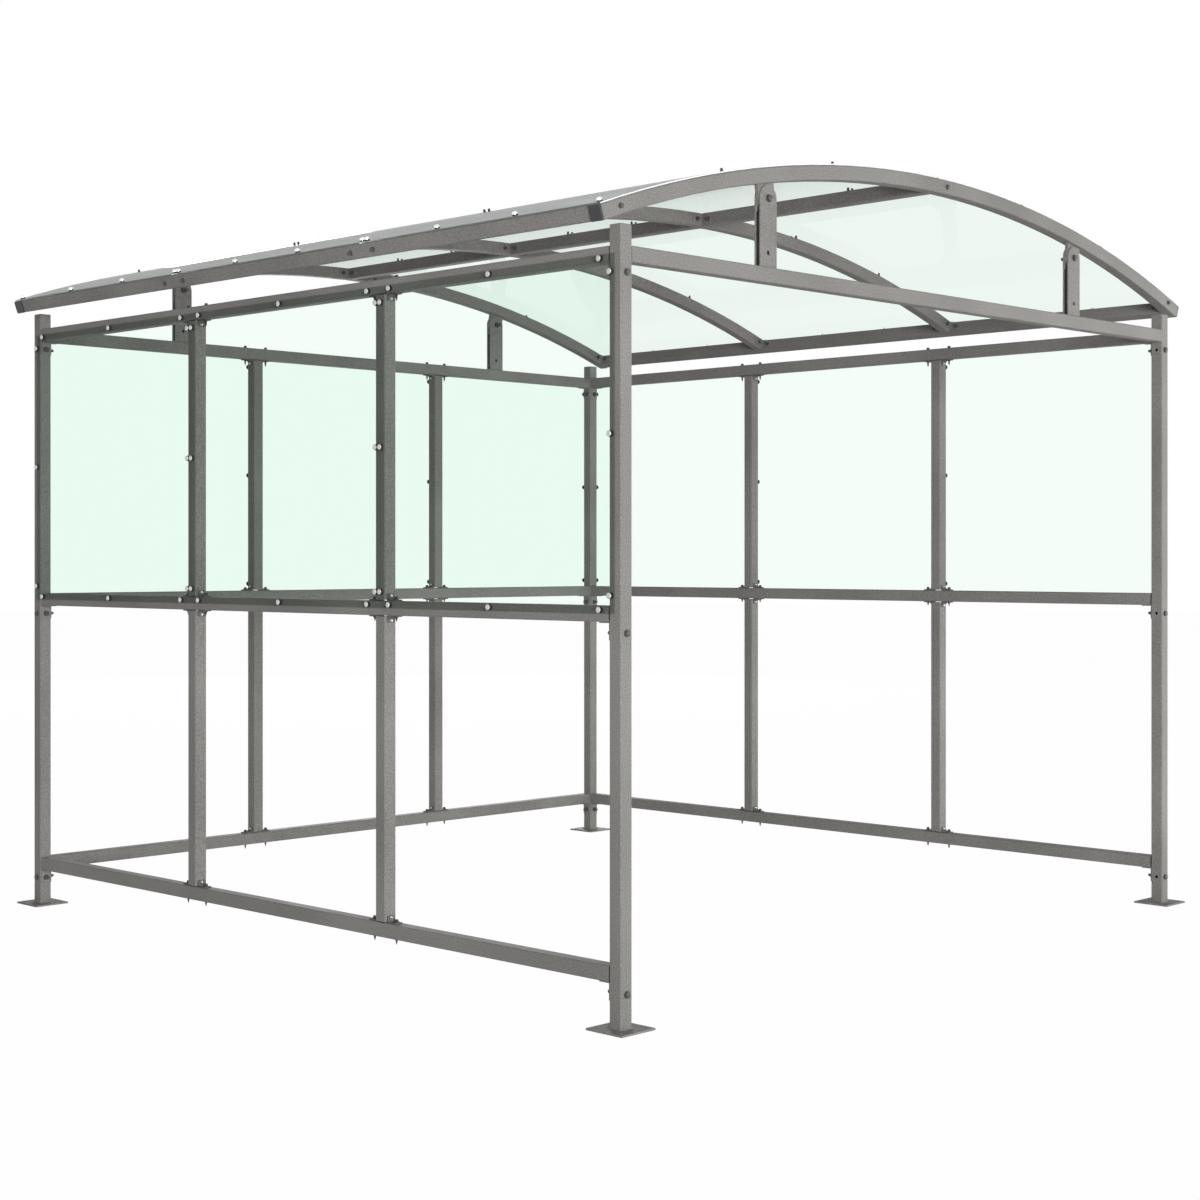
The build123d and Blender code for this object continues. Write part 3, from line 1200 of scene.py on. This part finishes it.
@dataclass(frozen=True)
class StrutPair:
    """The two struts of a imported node: where their middles, ends, faces and slots lie."""

    node: str
    face: int
    x: np.ndarray
    half_width: float
    foot: float
    floor: float
    pivot: float
    outer: float
    inner: float
    slot: tuple[float, float]

    @classmethod
    def of_node(cls, node: str, face: int) -> "StrutPair":
        """Reads a pair from its node; the pivots are the centres of the struts' round heads.

        Args:
            node: Name of the node.
            face: -1 for struts at the front, 1 at the back.

        Returns:
            The pair.
        """
        low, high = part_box(node)
        points = node_points(node).astype(float)
        right = points[points[:, 0] > 0, 0]
        half_width = (right.max() - right.min()) / 2
        outer, inner = (low.y, high.y) if face < 0 else (high.y, low.y)
        cheeks = np.unique(np.round(points[:, 1], LEVEL_DIGITS))
        return cls(node, face, x=(right.max() + right.min()) / 2 * ENDS, half_width=half_width,
                   foot=low.z, floor=low.z + end_step(node), pivot=high.z - half_width,
                   outer=outer, inner=inner, slot=(cheeks[1], cheeks[-2]))

    @property
    def out(self) -> np.ndarray:
        """Direction from the struts to the outside."""
        return np.array([0.0, float(self.face), 0.0])

    def at(self, y: float, z: float) -> np.ndarray:
        """Points on both struts' middle lines, at a depth and a height."""
        return np.stack([self.x, 0 * self.x + y, 0 * self.x + z], axis=1)


@dataclass
class StrutFittings(Fittings):
    """Pivot bolts of the four struts, the hole low in each, and a dark block in its slot that
    paints the slot's shade.
    """

    bolt: HexBolt = HexBolt(shank_radius=0.006, corner_radius=0.011, head_height=0.0075,
                            nut_height=0.010, tip=0.016, washer_radius=0.012)
    hole_radius: float = 0.007
    hole_height: float = 0.044
    hole_sides: int = 24
    overrun_share: float = 0.5
    lug_reach: float = 0.042
    recess: float = 0.003
    play: float = 0.0004

    def build(self) -> None:
        """Adds the bolts, the holes and the dark blocks of painted shade."""
        pairs = [StrutPair.of_node("front_struts", -1), StrutPair.of_node("back_struts", 1)]
        for pair in pairs:
            self.drill(pair)
        add_piece("strut_pivot_bolts", joined(*map(self.bolts, pairs)), self.finishes.bolt)
        # Near-black blocks that paint the shade deep in the struts' slots
        add_piece("strut_packing", joined(*map(self.packing, pairs)), self.finishes.seal)

    def bolts(self, pair: StrutPair) -> Shape:
        """A bolt with its nut through the round head of each strut.

        Args:
            pair: The struts.

        Returns:
            Both bolts.
        """
        return joined(repeated(self.bolt.head(), pair.at(pair.outer, pair.pivot), pair.out),
                      repeated(self.bolt.nut(), pair.at(pair.inner, pair.pivot), -pair.out))

    def packing(self, pair: StrutPair) -> Shape:
        """A near-black block in each strut's slot, from the slot's floor up to the arch's lug:
        painted shade.

        Args:
            pair: The struts.

        Returns:
            Both blocks.
        """
        half = pair.half_width - self.recess
        low_y, high_y = pair.slot[0] + self.play, pair.slot[1] - self.play
        top = pair.pivot - self.lug_reach
        return joined(*(block((x - half, low_y, pair.floor), (x + half, high_y, top))
                        for x in pair.x))

    def drill(self, pair: StrutPair) -> None:
        """Cuts a round hole through both cheeks of each strut with a modifier.

        Args:
            pair: The struts.
        """
        depth = abs(pair.outer - pair.inner)
        overrun = self.overrun_share * depth
        bit = turned(np.array([[self.hole_radius, -overrun], [self.hole_radius, depth + overrun]]),
                     self.hole_sides)
        places = pair.at(pair.outer, pair.foot + self.hole_height)
        cutter = meshed(f"{pair.node}_drill", repeated(bit, places, -pair.out))
        cutter.hide_render = True
        modifiers = bpy.data.objects[pair.node].modifiers
        hole = modifiers.new("hole", "BOOLEAN")
        hole.operation = "DIFFERENCE"
        hole.object = cutter
        # Straight after the weld, before the edges are eased
        modifiers.move(len(modifiers) - 1, 1)


@dataclass
class FootWelds(Fittings):
    """Fillet welds between the posts and their foot plates."""

    leg: float = 0.0045
    ripple: float = 0.0032
    ripple_share: float = 0.12
    step: float = 0.0011
    corner: float = 0.003
    corner_steps: int = 32
    rim_steps: int = 5
    throat_share: float = 0.72
    root_share: float = 0.4
    sunk_share: float = 0.2
    toe_share: float = 0.9

    def loop(self) -> tuple[np.ndarray, np.ndarray, np.ndarray]:
        """Rounded square round a post, in even steps.

        The four corner arcs are centre plus corner radius times direction; the whole outline is
        then read off at even steps of its length.

        Returns:
            Points about the post's axis, outward unit vectors and the length run so far.
        """
        turn = 2 * np.pi * (np.arange(self.corner_steps) + 0.5) / self.corner_steps
        way = np.stack([np.cos(turn), np.sin(turn)], axis=1)
        points = np.sign(way) * (self.layout.tube / 2 - self.corner) + self.corner * way
        points = np.concatenate([points, points[:1]])
        run = np.concatenate([[0.0], np.cumsum(np.linalg.norm(np.diff(points, axis=0), axis=1))])
        at = np.linspace(0.0, run[-1], int(run[-1] / self.step), endpoint=False)
        xy = np.stack([np.interp(at, run, points[:, i]) for i in (0, 1)], axis=1)
        ahead = np.roll(xy, -1, axis=0) - np.roll(xy, 1, axis=0)
        ahead /= np.linalg.norm(ahead, axis=1, keepdims=True)
        return xy, np.stack([ahead[:, 1], -ahead[:, 0]], axis=1), at

    def section(self) -> np.ndarray:
        """Section of the bead for a leg of one, from its root round its rim.

        The rim turns from level to upright at a radius of one at its toes and less at its
        throat; the root reaches into the post and the plate.

        Returns:
            Outward and upward offset of each corner.
        """
        lean = np.linspace(0.0, np.pi / 2, self.rim_steps)
        radius = self.throat_share + (1 - self.throat_share) * np.abs(np.cos(2 * lean))
        rim = np.stack([radius * np.cos(lean), radius * np.sin(lean)], axis=1)
        sunk = np.array([[-self.root_share, -self.sunk_share], [self.toe_share, -self.sunk_share]])
        return np.concatenate([sunk, rim, np.array([[-self.root_share, self.toe_share]])])

    def build(self) -> None:
        """Adds one rippled bead round the foot of each post."""
        frame = self.layout
        xy, outward, at = self.loop()
        swell = self.leg * (1 + self.ripple_share * np.abs(np.sin(np.pi * at / self.ripple)))
        sections = swell[:, None, None] * self.section()
        flat = np.concatenate([outward, 0 * outward[:, :1]], axis=1)
        shapes = []
        for x in (frame.half_width - frame.tube / 2) * ENDS:
            for y in (frame.half_depth - frame.tube / 2) * ENDS:
                path = np.concatenate([xy + np.array([x, y]), 0 * xy[:, :1] + frame.plate], axis=1)
                shapes.append(swept_loop(path, flat, sections))
        add_piece("foot_welds", joined(*shapes), self.finishes.steel)


# Studio


@dataclass(frozen=True)
class Lamp:
    """Square soft lamp that faces the shelter and doesn't show itself, also not through sheets."""

    name: str
    place: tuple[float, float, float]
    size: float
    power: float
    gloss: float = 1.0
    target: tuple[float, float, float] = (0.0, 0.0, 1.2)

    def build(self) -> None:
        """Adds the lamp to the scene."""
        lamp = bpy.data.lights.new(self.name, "AREA")
        lamp.shape = "SQUARE"
        lamp.size = self.size
        lamp.energy = self.power
        lamp.specular_factor = self.gloss
        holder = linked(self.name, lamp)
        holder.location = self.place
        holder.visible_camera = False
        holder.visible_transmission = False
        aim = Vector(self.target) - Vector(self.place)
        holder.rotation_euler = aim.to_track_quat("-Z", "Y").to_euler()


@dataclass
class Studio:
    """Camera, floor, lamps and white surroundings; the camera is fitted to the photograph."""

    camera_place: tuple[float, float, float] = (-5.6055, -5.3306, 1.2857)
    camera_yaw: float = radians(45.134)
    lens: float = 62.008
    shift: tuple[float, float] = (0.0381, -0.0339)
    floor_half: float = 40.0
    floor_colour: str = "#f0f0f0"
    floor_white: float = 0.985
    horizon: float = 0.28
    zenith: float = 0.18
    lamps: tuple[Lamp, ...] = (
        Lamp("key", place=(-8.2, -12.6, 1.9), size=5.0, power=1570.0),
        Lamp("side", place=(4.6, -4.2, 1.2), size=2.5, power=125.0),
        Lamp("back_fill", place=(9.2, 11.9, 2.6), size=5.0, power=950.0, gloss=0.0))

    def build(self) -> None:
        """Sets up the whole studio."""
        bpy.context.scene.view_settings.view_transform = "Standard"
        self.add_camera()
        self.add_floor()
        for lamp in self.lamps:
            lamp.build()
        self.add_world()

    def add_camera(self) -> None:
        """Adds the level camera at the photograph's place and framing."""
        camera = bpy.data.cameras.new("camera")
        camera.lens = self.lens
        camera.shift_x, camera.shift_y = self.shift
        holder = linked("camera", camera)
        holder.location = self.camera_place
        holder.rotation_euler = (radians(90), 0.0, -self.camera_yaw)
        bpy.context.scene.camera = holder

    def white_rays(self, tree: NodeTree) -> Node:
        """One for rays that show the surroundings themselves, zero for rays that light matter.

        Args:
            tree: Node tree that gets the nodes.

        Returns:
            Node that gives the share.
        """
        rays = add_node(tree, "ShaderNodeLightPath").outputs
        seen = add_node(tree, "ShaderNodeMath",
                        {0: rays["Is Camera Ray"], 1: rays["Is Glossy Ray"]}, operation="MAXIMUM")
        seen = add_node(tree, "ShaderNodeMath", {0: seen, 1: rays["Is Transmission Ray"]},
                        operation="MAXIMUM")
        first = add_node(tree, "ShaderNodeMath", {0: rays["Diffuse Depth"], 1: 0.5},
                         operation="LESS_THAN")
        return add_node(tree, "ShaderNodeMath", {0: seen, 1: first}, operation="MULTIPLY")

    def add_floor(self) -> None:
        """Adds a pale floor that looks white and keeps a faint shadow."""
        corners = self.floor_half * np.array([[-1, -1, 0], [1, -1, 0], [1, 1, 0], [-1, 1, 0]])
        floor = meshed("floor", Shape(corners, [np.arange(4)[None]]))
        material, tree = empty_material("pale_floor")
        matte = add_node(tree, "ShaderNodeBsdfDiffuse", {"Color": linear(self.floor_colour)})
        white = add_node(tree, "ShaderNodeEmission", {"Color": linear(WHITE)})
        share = add_node(tree, "ShaderNodeMath", {0: self.white_rays(tree), 1: self.floor_white},
                         operation="MULTIPLY")
        both = add_node(tree, "ShaderNodeMixShader", {0: share, 1: matte, 2: white})
        add_node(tree, "ShaderNodeOutputMaterial", {"Surface": both})
        floor.data.materials.append(material)

    def add_world(self) -> None:
        """Adds surroundings that look white and light the shelter softly, less from overhead."""
        world = bpy.data.worlds.new("studio")
        world.use_nodes = True
        tree = world.node_tree
        tree.nodes.clear()
        way = add_node(tree, "ShaderNodeTexCoord").outputs["Generated"]
        height = add_node(tree, "ShaderNodeSeparateXYZ", {"Vector": way}).outputs["Z"]
        level = add_node(tree, "ShaderNodeMapRange",
                         {"Value": height, "To Min": self.horizon, "To Max": self.zenith})
        light = add_node(tree, "ShaderNodeBackground", {"Color": linear(WHITE), "Strength": level})
        white = add_node(tree, "ShaderNodeBackground", {"Color": linear(WHITE)})
        both = add_node(tree, "ShaderNodeMixShader",
                        {0: self.white_rays(tree), 1: light, 2: white})
        add_node(tree, "ShaderNodeOutputWorld", {"Surface": both})
        bpy.context.scene.world = world


def main() -> None:
    """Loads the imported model, dresses it and sets up the studio."""
    logging.basicConfig(level=logging.INFO, format="%(name)s %(message)s")
    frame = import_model()
    finishes = Finishes()
    layout = Layout.from_frame()
    DressedFrame(frame["nodes"], frame["record"]["subparts"], finishes).build()
    for assembly in (SheetScrews, RoofScrews, RailBolts, BracketScrews, RoofBolts,
                     StrutFittings, FootWelds):
        assembly(layout, finishes).build()
    Studio().build()


if __name__ == "__main__":
    main()
